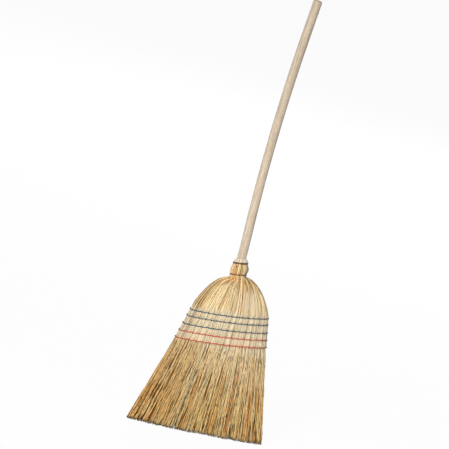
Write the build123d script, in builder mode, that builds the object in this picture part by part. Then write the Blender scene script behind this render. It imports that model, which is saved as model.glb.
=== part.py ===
"""Straw broom: a wooden handle bound into a flat, stitched straw head with free bristle ends.

Millimetres, +Z up along the handle, X across the sweep, front towards -Y. The origin lies on the floor,
in the middle of the trimmed bristle ends.
"""

import os
from math import atan, cos, pi, radians, sin, sqrt, tan

from build123d import *

os.makedirs("parts", exist_ok=True)

# Handle: bowed to the left above the collar, with a straight grip at the top
handle_diameter = 24.0
handle_bend_length = 56.0
handle_bend_angle = 2.1
handle_bow_length = 560.0
handle_bow_angle = 6.1
handle_grip_length = 100.0
handle_insertion = 134.0
handle_seat_diameter = 23.4
handle_taper_length = 84.0
handle_tip_diameter = 15.0
handle_tip_chamfer = 3.0
handle_top_rounding = 5.0
handle_clearance = 0.05

# Heights of the head, from the floor up
bristle_length = 231.0
stitched_height = 117.0
shoulder_height = 87.0
neck_foot_height = 3.5
barrel_height = 24.0
collar_height = 9.0

# Widths and depths of the head, and how far its middle leans to the right of the handle
sweep_width = 383.0
sweep_depth = 56.0
split_width = 261.0
split_depth = 44.0
split_shift = 8.0
shoulder_width = 208.0
shoulder_depth = 48.0
shoulder_shift = 10.5
left_roundness = 0.53
right_roundness = 0.42
shoulder_swell = 4.5
shoulder_stations = (0, 0.15, 0.5, 1)
neck_diameter = 42.0
lower_land_diameter = 40.8
barrel_diameter = 46.4
upper_land_diameter = 38.4
collar_foot_diameter = 36.8
collar_top_diameter = 26.8

# Straw bundles inside the head
core_neck_diameter = 33.0
core_neck_depth = 30.0
core_split_depth = 23.0
core_top_margin = 6.0
core_step_drop = 10.0
cover_neck_width = 45.0
cover_columns = 32

# Binding wire and nail
wire_diameter = 1.5
wire_pitch = 2.0
wire_clearance = 0.1
land_margin = 0.8
lower_turns = 2
upper_turns = 3
inner_turns = 4
inner_wire_drop = 18.0
inner_room_margin = 1.2
inner_room_clearance = 0.3
nail_diameter = 1.8
nail_head_diameter = 4.2
nail_head_thickness = 1.0
nail_length = 16.0
nail_seat_rise = 1.6
nail_drop = 4.0
nail_bearing = -37.0
nail_clearance = 0.05

# Sewing twine
twine_diameter = 2.6
twine_clearance = 0.25
stitch_diameter = 2.2
stitch_clearance = 0.1
stitch_pitch = 17.0
stitch_edge_margin = 4.0
lowest_seam_height = 19.0
seam_pitch = 20.4
seam_tilt = 4.3
seam_sag = 2.4
seam_end_gap = 4.0
seam_colours = ("blue", "blue", "blue", "red", "red")

# Bristles
backing_thickness = 8.0
strand_bite = 2.0
strand_root_width = 4.6
strand_root_depth = 3.6
strand_tip_width = 6.8
strand_tip_depth = 5.2
column_pitch = 5.6
row_pitch = 4.6
ragged_step = 1.5
ragged_levels = 4


def lerp(low, high, share):
    return low + (high - low) * share


# Levels worked out from the heights
split_z = bristle_length
shoulder_z = split_z + stitched_height
neck_z = shoulder_z + shoulder_height
lower_land_z = neck_z + neck_foot_height
lower_land_height = lower_turns * wire_pitch + wire_diameter + land_margin
barrel_z = lower_land_z + lower_land_height
upper_land_z = barrel_z + barrel_height
upper_land_height = upper_turns * wire_pitch + wire_diameter + land_margin
collar_z = upper_land_z + upper_land_height
collar_top_z = collar_z + collar_height
handle_tip_z = collar_top_z - handle_insertion
core_top_z = collar_z - core_top_margin
core_step_z = neck_z - core_step_drop
wire_radius = wire_diameter / 2
twine_radius = twine_diameter / 2
cover_split_width = cover_columns * column_pitch
cover_top_width = barrel_diameter + 2 * wire_diameter

# Neck windings: radius of the centre line, height of its start and turns
wire_seat = wire_clearance + wire_radius
inner_wire_radius = core_neck_diameter / 2 + wire_seat
inner_wire_z = core_top_z - inner_wire_drop
windings = {
    "inner_binding_wire": (inner_wire_radius, inner_wire_z, inner_turns),
    "lower_neck_wire": (
        lower_land_diameter / 2 + wire_seat,
        lower_land_z + land_margin / 2 + wire_radius,
        lower_turns,
    ),
    "upper_neck_wire": (
        upper_land_diameter / 2 + wire_seat,
        upper_land_z + land_margin / 2 + wire_radius,
        upper_turns,
    ),
}

# Bristle fields: middle and size of each bundle's rectangle, from the middle of the oval at the split
backing_z = split_z - backing_thickness
backing_width = lerp(split_width, sweep_width, backing_thickness / bristle_length)
backing_depth = lerp(split_depth, sweep_depth, backing_thickness / bristle_length)
backing_shift = lerp(split_shift, 0, backing_thickness / bristle_length)
cover_field_y = (core_split_depth + split_depth) / 2
shoulder_field_x = (cover_split_width + split_width) / 2
bristle_fields = {
    "core_bristles": (0, 0, cover_split_width, core_split_depth),
    "front_bristles": (0, -cover_field_y, cover_split_width, split_depth),
    "back_bristles": (0, cover_field_y, cover_split_width, split_depth),
    "left_bristles": (-shoulder_field_x, 0, split_width, 2 * split_depth),
    "right_bristles": (shoulder_field_x, 0, split_width, 2 * split_depth),
}

# The nail's line, from the handle's axis out through the front cover
nail_z = upper_land_z - nail_drop
nail_seat_radius = upper_land_diameter / 2 + nail_seat_rise
nail_way = (sin(radians(nail_bearing)), -cos(radians(nail_bearing)), 0)
nail_plane = Plane(origin=(0, 0, nail_z), z_dir=nail_way)


def oval_arcs(width, depth):
    """Half width, half depth, lean of the arcs' joints, end radius and face radius of a four-arc oval."""
    half_width = width / 2
    half_depth = depth / 2
    lean = atan(half_depth / half_width)
    spread = (half_width - half_depth) / (sin(lean) + cos(lean) - 1)
    return half_width, half_depth, lean, half_width - spread * sin(lean), half_depth + spread * cos(lean)


def oval_point(width, depth, side, share):
    """A point of the oval: side 0 front, 1 right, 2 back, 3 left, and share from -1 to 1 anticlockwise."""
    half_width, half_depth, lean, end_radius, face_radius = oval_arcs(width, depth)
    turn = (1, -1)[side // 2]
    if side % 2 == 0:
        angle = share * lean
        return turn * face_radius * sin(angle), turn * (face_radius - half_depth - face_radius * cos(angle))
    angle = share * (pi / 2 - lean)
    return turn * (half_width - end_radius + end_radius * cos(angle)), turn * end_radius * sin(angle)


def oval_depth(width, depth, x):
    """Half depth of the oval at x, or zero outside it."""
    half_width, half_depth, lean, end_radius, face_radius = oval_arcs(width, depth)
    end_centre = half_width - end_radius
    if abs(x) >= half_width:
        return 0.0
    if abs(x) <= face_radius * sin(lean):
        return half_depth - face_radius + sqrt(face_radius**2 - x**2)
    return sqrt(end_radius**2 - (abs(x) - end_centre) ** 2)


def oval(width, depth):
    """The four arcs of an oval, in the plane of the sketch that takes them."""
    with BuildLine() as outline:
        for side in range(4):
            ThreePointArc(*(oval_point(width, depth, side, share) for share in (-1, 0, 1)))
    return outline.edges()


def handle_foot(clearance):
    """Half section of the handle's end inside the straw, grown by a clearance."""
    seat_radius = handle_seat_diameter / 2 + clearance
    tip_radius = handle_tip_diameter / 2 + clearance
    foot_z = handle_tip_z - clearance
    with BuildLine() as outline:
        Polyline(
            (0, collar_top_z),
            (0, foot_z),
            (tip_radius - handle_tip_chamfer, foot_z),
            (tip_radius, foot_z + handle_tip_chamfer),
            (seat_radius, foot_z + handle_tip_chamfer + handle_taper_length),
            (seat_radius, collar_top_z),
            close=True,
        )
    return outline.edges()


def handle_arc(start, tilt, length, turn):
    """An arc of the handle's line across the sweep: start, middle and end, from a tilt to the left."""
    chords = [2 * length * sin(radians(turn) * share / 2) / radians(turn) for share in (0, 0.5, 1)]
    tilts = [radians(tilt + turn * share / 2) for share in (0, 0.5, 1)]
    return [start + Vector(-sin(lean), 0, cos(lean)) * chord for lean, chord in zip(tilts, chords)]


def handle_route():
    """Centre line of the bare handle: a bend to the left, the bow back to the right and the grip."""
    bend = handle_arc(Vector(0, 0, collar_top_z), 0, handle_bend_length, handle_bend_angle)
    bow = handle_arc(bend[-1], handle_bend_angle, handle_bow_length, -handle_bow_angle)
    grip_lean = radians(handle_bow_angle - handle_bend_angle)
    with BuildLine() as route:
        ThreePointArc(*bend)
        ThreePointArc(*bow)
        Line(bow[-1], bow[-1] + Vector(sin(grip_lean), 0, cos(grip_lean)) * handle_grip_length)
    return route.wire()


def biarc(start, start_way, end, end_way):
    """Two arcs that leave start and reach end along the given ways and meet smoothly."""
    across = end - start
    bend = 2 * (1 - start_way.dot(end_way))
    along = across.dot(start_way + end_way)
    if bend < 1e-9:
        reach = across.dot(across) / (2 * along)
    else:
        reach = (sqrt(along**2 + bend * across.dot(across)) - along) / bend
    first_corner = start + start_way * reach
    second_corner = end - end_way * reach
    joint = (first_corner + second_corner) * 0.5
    TangentArc(start, joint, tangent=start_way)
    TangentArc(joint, end, tangent=second_corner - first_corner)


def winding_point(radius, base_z, turn):
    angle = 2 * pi * turn
    return Vector(radius * cos(angle), radius * sin(angle), base_z + wire_pitch * turn)


def winding_way(radius, turn):
    angle = 2 * pi * turn
    return Vector(-radius * sin(angle), radius * cos(angle), wire_pitch / (2 * pi)).normalized()


def winding_gap(radius, turns, name):
    """Prints the least gap of a winding to itself, measured on points a twentieth of a turn apart."""
    steps = 20
    points = [winding_point(radius, 0, step / steps) for step in range(turns * steps + 1)]
    spans = [
        (points[first] - points[second]).length
        for first in range(len(points))
        for second in range(first + steps // 2, len(points))
    ]
    print(name, "least gap to itself", round(min(spans) - wire_diameter, 3))


def winding(radius, base_z, turns):
    """Centre line of a winding: quarter turns of two arcs each, with straight ends one wire long."""
    stations = [quarter / 4 for quarter in range(4 * turns + 1)]
    points = [winding_point(radius, base_z, turn) for turn in stations]
    ways = [winding_way(radius, turn) for turn in stations]
    with BuildLine() as route:
        Line(points[0] - ways[0] * wire_diameter, points[0])
        for index in range(4 * turns):
            biarc(points[index], ways[index], points[index + 1], ways[index + 1])
        Line(points[-1], points[-1] + ways[-1] * wire_diameter)
    return route.wire()


def head_shift(height):
    """How far to the right the middle of the stitched part lies, height above the split."""
    return lerp(split_shift, shoulder_shift, height / stitched_height)


def stitched_point(side, share, height):
    """A point of the stitched part's surface, height above the split."""
    low = oval_point(split_width, split_depth, side, share)
    high = oval_point(shoulder_width, shoulder_depth, side, share)
    rise = height / stitched_height
    return Vector(
        head_shift(height) + lerp(low[0], high[0], rise),
        lerp(low[1], high[1], rise),
        split_z + height,
    )


def seam_height(middle, x):
    """Height of a seam above the split: it leans and its ends turn up."""
    half_width = lerp(split_width, shoulder_width, middle / stitched_height) / 2
    across = x - head_shift(middle)
    return middle + tan(radians(seam_tilt)) * across + seam_sag * (across / half_width) ** 2


def seam_point(middle, station):
    """A point of a seam's centre line: station 0 to 4 goes round the head from the front's left edge."""
    side = min(int(station), 3)
    share = 2 * (station - side) - 1
    height = middle
    for _ in range(6):
        height = seam_height(middle, stitched_point(side, share, height).X)
    step = 0.001
    surface = stitched_point(side, share, height)
    around = stitched_point(side, share + step, height) - stitched_point(side, share - step, height)
    upward = stitched_point(side, share, height + step) - surface
    return surface + around.cross(upward).normalized() * (twine_radius + twine_clearance)


def seam_way(middle, station):
    """Way of a seam's centre line at a station inside one side."""
    step = 0.0005
    return (seam_point(middle, station + step) - seam_point(middle, station - step)).normalized()


def seam_route(middle):
    """Centre line of a seam's twine: one arc on each face, arcs round the edges, open at the right."""
    _, _, lean, end_radius, _ = oval_arcs(split_width, split_depth)
    opening = (seam_end_gap / 2 + twine_diameter) / ((pi - 2 * lean) * end_radius)
    start, end, left = (1.5 + opening, 1.5 - opening, 3.5)
    first, last, turn = (seam_point(middle, station) for station in (start, end, left))
    first_way, last_way, turn_way = (seam_way(middle, station) for station in (start, end, left))
    with BuildLine() as route:
        front = ThreePointArc(*(seam_point(middle, station) for station in (0, 0.5, 1)))
        back = ThreePointArc(*(seam_point(middle, station) for station in (2, 2.5, 3)))
        Line(first - first_way * twine_diameter, first)
        biarc(first, first_way, back @ 0, back % 0)
        biarc(back @ 1, back % 1, turn, turn_way)
        biarc(turn, turn_way, front @ 0, front % 0)
        biarc(front @ 1, front % 1, last, last_way)
        Line(last, last + last_way * twine_diameter)
    return route.wire()


def seam_middles():
    """Heights of the seams above the split, the highest first."""
    return [lowest_seam_height + seam_pitch * step for step in reversed(range(len(seam_colours)))]


def stitches(middle):
    """Places of a seam's stitches: x, z and half depth of the straw there."""
    width = lerp(split_width, shoulder_width, middle / stitched_height)
    depth = lerp(split_depth, shoulder_depth, middle / stitched_height)
    shift = head_shift(middle)
    reach = seam_point(middle, 1).X - shift - stitch_edge_margin
    count = int(2 * reach / stitch_pitch) + 1
    places = [shift + (step - (count - 1) / 2) * stitch_pitch for step in range(count)]
    return [(x, split_z + seam_height(middle, x), oval_depth(width, depth, x - shift)) for x in places]


def strand_roots():
    """Grid of the strands' roots inside the oval at the split: column, row, and x and y from its middle."""
    columns = int(split_width / column_pitch / 2) + 1
    rows = int(split_depth / row_pitch / 2) + 1
    half_width = strand_root_width / 2
    half_depth = strand_root_depth / 2
    return [
        (column, row, (column + 0.5) * column_pitch, row * row_pitch)
        for column in range(-columns, columns)
        for row in range(-rows, rows + 1)
        if oval_depth(split_width, split_depth, abs(column + 0.5) * column_pitch + half_width)
        > abs(row) * row_pitch + half_depth
    ]


def field_strands(middle_x, middle_y, width, depth):
    """Root, tip and tip height of each strand whose root lies inside a field's rectangle."""
    roots = strand_roots()
    spread_x = (sweep_width - strand_tip_width) / 2 / max(x for column, row, x, y in roots)
    spread_y = (sweep_depth - strand_tip_depth) / 2 / max(y for column, row, x, y in roots)
    room_x = (width - strand_root_width) / 2
    room_y = (depth - strand_root_depth) / 2
    return [
        (
            (split_shift + x, y),
            (x * spread_x, y * spread_y),
            ragged_step * ((2 * column + 3 * row) % ragged_levels),
        )
        for column, row, x, y in roots
        if abs(x - middle_x) < room_x and abs(y - middle_y) < room_y
    ]


# The whole outer form of the straw above the split, which the bundles are cut from
with BuildPart() as head_form:
    with BuildSketch(Plane((split_shift, 0, split_z))):
        make_face(oval(split_width, split_depth))
    with BuildSketch(Plane((shoulder_shift, 0, shoulder_z))):
        make_face(oval(shoulder_width, shoulder_depth))
    loft(ruled=True)
    for drop in shoulder_stations:
        left = lerp(neck_diameter / 2, shoulder_width / 2 - shoulder_shift, drop**left_roundness)
        right = lerp(neck_diameter / 2, shoulder_width / 2 + shoulder_shift, drop**right_roundness)
        depth = lerp(neck_diameter, shoulder_depth, drop) + 2 * shoulder_swell * sin(pi * drop)
        with BuildSketch(Plane(((right - left) / 2, 0, neck_z - shoulder_height * drop))):
            make_face(oval(left + right, depth))
    loft()
    with BuildSketch(Plane.XZ):
        with BuildLine():
            Polyline(
                (0, collar_top_z),
                (0, neck_z),
                (neck_diameter / 2, neck_z),
                (lower_land_diameter / 2, lower_land_z),
                (lower_land_diameter / 2, barrel_z),
            )
            ThreePointArc(
                (lower_land_diameter / 2, barrel_z),
                (barrel_diameter / 2, barrel_z + barrel_height / 2),
                (upper_land_diameter / 2, upper_land_z),
            )
            Polyline(
                (upper_land_diameter / 2, upper_land_z),
                (upper_land_diameter / 2, collar_z),
                (collar_foot_diameter / 2, collar_z),
                (collar_top_diameter / 2, collar_top_z),
                (0, collar_top_z),
            )
        make_face()
    revolve(axis=Axis.Z)

# The space of the two covers, widening from the neck to the split
with BuildPart() as cover_space:
    with BuildSketch(Plane.XZ):
        with BuildLine():
            Polyline(
                (split_shift - cover_split_width / 2, split_z),
                (split_shift + cover_split_width / 2, split_z),
                (cover_neck_width / 2, neck_z),
                (cover_top_width / 2, neck_z),
                (cover_top_width / 2, collar_top_z),
                (-cover_top_width / 2, collar_top_z),
                (-cover_top_width / 2, neck_z),
                (-cover_neck_width / 2, neck_z),
                close=True,
            )
        make_face()
    extrude(amount=shoulder_depth, both=True)

# The outer form of the core: a wedge in the head and a round stem in the neck
with BuildPart() as core_form:
    add(cover_space.part)
    with BuildSketch(Plane.YZ):
        with BuildLine():
            Polyline(
                (0, split_z),
                (core_split_depth / 2, split_z),
                (core_neck_depth / 2, core_step_z),
                (0, core_step_z),
                close=True,
            )
        make_face()
        mirror(about=Plane.YZ)
    extrude(amount=split_width, both=True, mode=Mode.INTERSECT)
    with BuildSketch(Plane.XY.offset(core_step_z)):
        Circle(core_neck_diameter / 2)
    extrude(amount=core_top_z - core_step_z)

# The room that the handle, the stitches, the inner winding and the nail take in the straw
with BuildPart() as handle_room:
    with BuildSketch(Plane.XZ):
        make_face(handle_foot(handle_clearance))
    revolve(axis=Axis.Z)

with BuildPart() as stitch_room:
    with BuildSketch(Plane.XZ):
        for middle in seam_middles():
            with Locations(*((x, z) for x, z, depth in stitches(middle))):
                Circle(stitch_diameter / 2 + stitch_clearance)
    extrude(amount=shoulder_depth, both=True)

with BuildPart() as inner_wire_room:
    with BuildSketch(Plane.XY.offset(inner_wire_z - inner_room_margin)):
        Circle(inner_wire_radius + wire_radius + inner_room_clearance)
    extrude(amount=inner_turns * wire_pitch + 2 * inner_room_margin)

with BuildPart() as nail_room:
    with BuildSketch(nail_plane.offset(nail_seat_radius)):
        Circle(nail_head_diameter / 2 + nail_clearance)
    extrude(amount=barrel_diameter / 2)
    with BuildSketch(nail_plane.offset(nail_seat_radius)):
        Circle(nail_diameter / 2 + nail_clearance)
    extrude(amount=-nail_length - nail_clearance)

# Handle
bare_handle = handle_route()
with BuildPart() as handle:
    with BuildSketch(Plane.XY.offset(collar_top_z)):
        Circle(handle_diameter / 2)
    sweep(path=bare_handle)
    fillet(handle.faces().sort_by(Axis.Z)[-1].edges(), handle_top_rounding)
    with BuildSketch(Plane.XZ):
        make_face(handle_foot(0))
    revolve(axis=Axis.Z)
    add(nail_room.part, mode=Mode.SUBTRACT)
handle.part.label = "handle"
export_step(handle.part, "parts/handle.step")
print("handle top", bare_handle @ 1, "way", bare_handle % 1)

# Core straw, packed round the handle's tapered end
with BuildPart() as core_straw:
    add(core_form.part)
    for room in (handle_room, stitch_room, nail_room):
        add(room.part, mode=Mode.SUBTRACT)
core_straw.part.label = "core_straw"
export_step(core_straw.part, "parts/core_straw.step")

# Front and back covers, which also make the neck and its trimmed collar
with BuildPart() as both_covers:
    add(head_form.part)
    add(cover_space.part, mode=Mode.INTERSECT)
    for room in (core_form, handle_room, inner_wire_room, stitch_room, nail_room):
        add(room.part, mode=Mode.SUBTRACT)

with BuildPart() as front_cover_straw:
    add(both_covers.part)
    split(bisect_by=Plane.XZ, keep=Keep.TOP)
front_cover_straw.part.label = "front_cover_straw"
export_step(front_cover_straw.part, "parts/front_cover_straw.step")

with BuildPart() as back_cover_straw:
    add(both_covers.part)
    split(bisect_by=Plane.XZ, keep=Keep.BOTTOM)
back_cover_straw.part.label = "back_cover_straw"
export_step(back_cover_straw.part, "parts/back_cover_straw.step")

# Shoulder bundles at both sides of the covers
with BuildPart() as both_shoulders:
    add(head_form.part)
    for room in (cover_space, stitch_room):
        add(room.part, mode=Mode.SUBTRACT)

with BuildPart() as left_shoulder_straw:
    add(both_shoulders.part)
    split(bisect_by=Plane.YZ, keep=Keep.BOTTOM)
left_shoulder_straw.part.label = "left_shoulder_straw"
export_step(left_shoulder_straw.part, "parts/left_shoulder_straw.step")

with BuildPart() as right_shoulder_straw:
    add(both_shoulders.part)
    split(bisect_by=Plane.YZ, keep=Keep.TOP)
right_shoulder_straw.part.label = "right_shoulder_straw"
export_step(right_shoulder_straw.part, "parts/right_shoulder_straw.step")

# Neck windings
for name, (radius, base_z, turns) in windings.items():
    route = winding(radius, base_z, turns)
    winding_gap(radius, turns, name)
    with BuildPart() as neck_wire:
        with BuildSketch(Plane(origin=route @ 0, z_dir=route % 0)):
            Circle(wire_radius)
        sweep(path=route)
    neck_wire.part.label = name
    export_step(neck_wire.part, f"parts/{name}.step")

# Nail through the neck into the handle
with BuildPart() as neck_nail:
    with BuildSketch(nail_plane.offset(nail_seat_radius)):
        Circle(nail_head_diameter / 2)
    extrude(amount=nail_head_thickness)
    with BuildSketch(nail_plane.offset(nail_seat_radius)):
        Circle(nail_diameter / 2)
    extrude(amount=-nail_length)
neck_nail.part.label = "neck_nail"
export_step(neck_nail.part, "parts/neck_nail.step")

# Sewing twines, each once round the head and through it at every stitch
for number, (middle, colour) in enumerate(zip(seam_middles(), seam_colours), start=1):
    route = seam_route(middle)
    name = f"seam_{number}_{colour}"
    with BuildPart() as seam:
        with BuildSketch(Plane(origin=route @ 0, x_dir=(1, 0, 0), z_dir=route % 0)):
            Circle(twine_radius)
        sweep(path=route)
        through = []
        for x, z, depth in stitches(middle):
            with BuildSketch(Plane.XZ):
                with Locations((x, z)):
                    Circle(stitch_diameter / 2)
            through.append(extrude(amount=depth + twine_radius, both=True, mode=Mode.PRIVATE))
        add(through)
    seam.part.label = name
    export_step(seam.part, f"parts/{name}.step")
    print(name, "stitches", len(through), "volume", round(seam.part.volume, 1), "length", round(route.length, 1))

# Bristles: the free straw below the split, a backing slice with its strands for each bundle
with BuildPart() as backing_form:
    with BuildSketch(Plane((split_shift, 0, split_z))):
        make_face(oval(split_width, split_depth))
    with BuildSketch(Plane((backing_shift, 0, backing_z))):
        make_face(oval(backing_width, backing_depth))
    loft(ruled=True)

for name, (x, y, width, depth) in bristle_fields.items():
    with BuildPart() as bristles:
        add(backing_form.part)
        with BuildSketch(Plane.XY.offset(backing_z)):
            with Locations((split_shift + x, y)):
                Rectangle(width, depth)
        extrude(amount=backing_thickness, mode=Mode.INTERSECT)
        strands = []
        for root, tip, tip_z in field_strands(x, y, width, depth):
            with BuildSketch(Plane.XY.offset(tip_z)):
                with Locations(tip):
                    Rectangle(strand_tip_width, strand_tip_depth)
            with BuildSketch(Plane.XY.offset(backing_z + strand_bite)):
                with Locations(root):
                    Rectangle(strand_root_width, strand_root_depth)
            strands.append(loft(mode=Mode.PRIVATE))
        add(strands)
    bristles.part.label = name
    export_step(bristles.part, f"parts/{name}.step")
    print(name, "strands", len(strands))
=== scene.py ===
"""Straw broom: straws, bristles, twine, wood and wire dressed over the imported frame.

Lengths are worked out in millimetres and become metres when a mesh is made. A place round the
head is a share of the way round it, from the middle of the front to the right.
"""

import math

import bpy
import numpy as np
from mathutils import Matrix, Vector


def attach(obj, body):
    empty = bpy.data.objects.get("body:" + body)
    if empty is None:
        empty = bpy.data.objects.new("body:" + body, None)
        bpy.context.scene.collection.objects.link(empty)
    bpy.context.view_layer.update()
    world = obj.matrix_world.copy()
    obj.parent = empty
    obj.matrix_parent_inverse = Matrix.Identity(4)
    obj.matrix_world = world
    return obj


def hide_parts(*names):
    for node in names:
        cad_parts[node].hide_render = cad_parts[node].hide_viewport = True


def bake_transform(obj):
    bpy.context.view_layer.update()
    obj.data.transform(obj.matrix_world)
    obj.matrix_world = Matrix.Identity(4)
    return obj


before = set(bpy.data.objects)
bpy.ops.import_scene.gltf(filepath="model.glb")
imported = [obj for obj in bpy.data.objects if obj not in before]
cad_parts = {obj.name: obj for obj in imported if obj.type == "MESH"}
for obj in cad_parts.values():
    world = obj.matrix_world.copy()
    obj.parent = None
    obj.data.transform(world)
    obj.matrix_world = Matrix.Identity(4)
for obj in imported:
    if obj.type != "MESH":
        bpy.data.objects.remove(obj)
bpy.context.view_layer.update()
chance = np.random.default_rng(11)

# Heights of the head
SPLIT = 231.0
SHOULDER = 348.0
NECK = 435.0
LOWER_LAND = 438.5
LOWER_WIRE = 441.6
BARREL = 444.8
UPPER_LAND = 468.8
COLLAR = 477.1
COLLAR_TOP = 486.1

# Half widths and half depths of the head, and how far its middle leans to the right
SWEEP_WIDTH, SWEEP_DEPTH = 191.5, 28.0
SPLIT_WIDTH, SPLIT_DEPTH, SPLIT_SHIFT = 130.5, 22.0, 8.0
SHOULDER_WIDTH, SHOULDER_DEPTH, SHOULDER_SHIFT = 104.0, 24.0, 10.5
SHOULDER_SWELL = 4.5
LEFT_ROUNDNESS = 0.47
RIGHT_ROUNDNESS = 0.45
LEFT_DROP = 8.0
SKIRT_HOLLOW = 1.4
COVER_HALF = 89.6

# Radii of the neck, and how far its foot and the barrel's bulge lie to the right
NECK_RADIUS = 22.2
LOWER_LAND_RADIUS = 21.7
BARREL_BULGE = 3.4
NECK_SHIFT = 3.2
BARREL_SHIFT = 0.6
UPPER_LAND_RADIUS = 19.2
COLLAR_FOOT_RADIUS = 18.4
COLLAR_TOP_RADIUS = 13.4

# Neck bindings: how they lean to the left and rise to the front, and where the lean sets in
NECK_LEAN = 0.115
NECK_TIP = 0.15
LEAN_FOOT = NECK - 7
LEAN_TOP = NECK + 4

# Neck wires: radius, first height and turns of each
WIRE_RADIUS = 0.75
WIRE_PITCH = 1.6
WIRE_SIDES = 10
TURN_STEPS = 60
NECK_WIRES = {"lower_neck_wire": (22.15, 440.0, 2), "upper_neck_wire": (19.7, 470.5, 3)}

# Seams, from the top: heights of their middles over the split, slope and sag
SEAM_NODES = ("seam_1_blue", "seam_2_blue", "seam_3_blue", "seam_4_red", "seam_5_red")
SEAM_FOOT = 19.0
SEAM_PITCH = 20.4
SEAM_MIDDLES = [SEAM_FOOT + SEAM_PITCH * step for step in (4, 3.14, 2.06, 1.1, 0.1)]
TOP_SEAM, MIDDLE_SEAM, LOW_SEAM = 0, 2, 4
LOW_SEAM_HEIGHT = SPLIT + SEAM_MIDDLES[LOW_SEAM]
SEAM_TILT = math.tan(math.radians(4.7))
SEAM_SAG = 2.4
SEAM_PULL, SEAM_PULL_REACH = 1.3, 3.0

# Columns of stitches, with a wide one at the front's right edge: how they draw the straw in, and
# how they fade under and over the seams and towards the head's edges
STITCH_PITCH = 17.0
EDGE_COLUMN = 6
EDGE_COLUMN_SPREAD = 1.6
COLUMN_PULL, COLUMN_PULL_REACH = 1.5, 1.7
COLUMN_FOOT, COLUMN_TOP = (-60, 0), (2, 18)
COLUMN_FACE = (0.25, 0.6)

# Twine of two plies, once round the head from its right edge, with both ends tucked in
TWINE_START, TWINE_WAY = 0.254, 1.012
TWINE_STEPS = 720
TWINE_SIDES = 7
TWINE_LAY = 6.0
TWINE_OFFSET = 0.75
PLY_RADIUS = 0.72
PLY_OFFSET = 0.56
TUCK, TUCK_REACH = 1.6, 0.006
ENDS_APART, ENDS_REACH = 1.5, 0.02

# Its stitches: how deep and wide they bite, and how the twine slants from one to the next
BITE, BITE_REACH = 1.1, 1.9
SLANT, SLANT_TURN = 2.1, 1.6
STITCH_FACE = (0.3, 0.7)

# Its tones: of each ply, at the head's edges, and between the stitches as painted highlight and in
# them as painted shade
PLY_TONES = (0.7, 1.3)
EDGE_TONE = 0.45
STITCH_LIGHT_AND_SHADE = {"blue": (1.5, 0.15), "red": (1.12, 0.7)}
STITCH_TONE_REACH = 3.4

# Places round the head where its straws and the bristles turn dark at the edges, the right ones as
# painted shade
HEAD_RIGHT = 0.231
SKIRT_LEFT, SKIRT_RIGHT = 0.75, 0.238

# Bundles of the head and of the bristles, in the order of field_of
FRONT, BACK, LEFT, RIGHT = range(4)
HEAD_NODES = (
    "front_cover_straw", "back_cover_straw", "left_shoulder_straw", "right_shoulder_straw"
)
BRISTLE_NODES = ("front_bristles", "back_bristles", "left_bristles", "right_bristles")


def lerp(low, high, share):
    return low + (high - low) * share


def smooth(low, high, value):
    """From 0 at the low value to 1 at the high one, without a corner."""
    share = np.clip((value - low) / (high - low), 0, 1)
    return share * share * (3 - 2 * share)


def hill(middle, reach, value):
    """1 at the middle, falling to about a third at the reach."""
    return np.exp(-(((value - middle) / reach) ** 2))


def swing(z, wave, phase):
    return np.sin(2 * np.pi * (z / wave + phase))


def unit(vectors):
    return vectors / np.linalg.norm(vectors, axis=-1, keepdims=True)


def distances(points):
    """How far along a line each of its points is."""
    return np.concatenate([[0], np.cumsum(np.linalg.norm(np.diff(points, axis=0), axis=1))])


def linear(red, green, blue):
    """Linear colour from the usual 0 to 255 values."""
    value = np.array([red, green, blue]) / 255
    return np.where(value <= 0.04045, value / 12.92, ((value + 0.055) / 1.055) ** 2.4)


# The outer form of the straw, as a table of points by height and share of the way round
LEVEL_STEP = 1.0
SAMPLES = 720
ARC_STEPS = 60
TABLE_END = 1.001  # keeps a place and the next one inside a table


def neck_shift(z):
    """How far to the right the neck's middle is at a height."""
    return NECK_SHIFT * np.clip((COLLAR_TOP - z) / (COLLAR_TOP - NECK), 0, 1)


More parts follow.
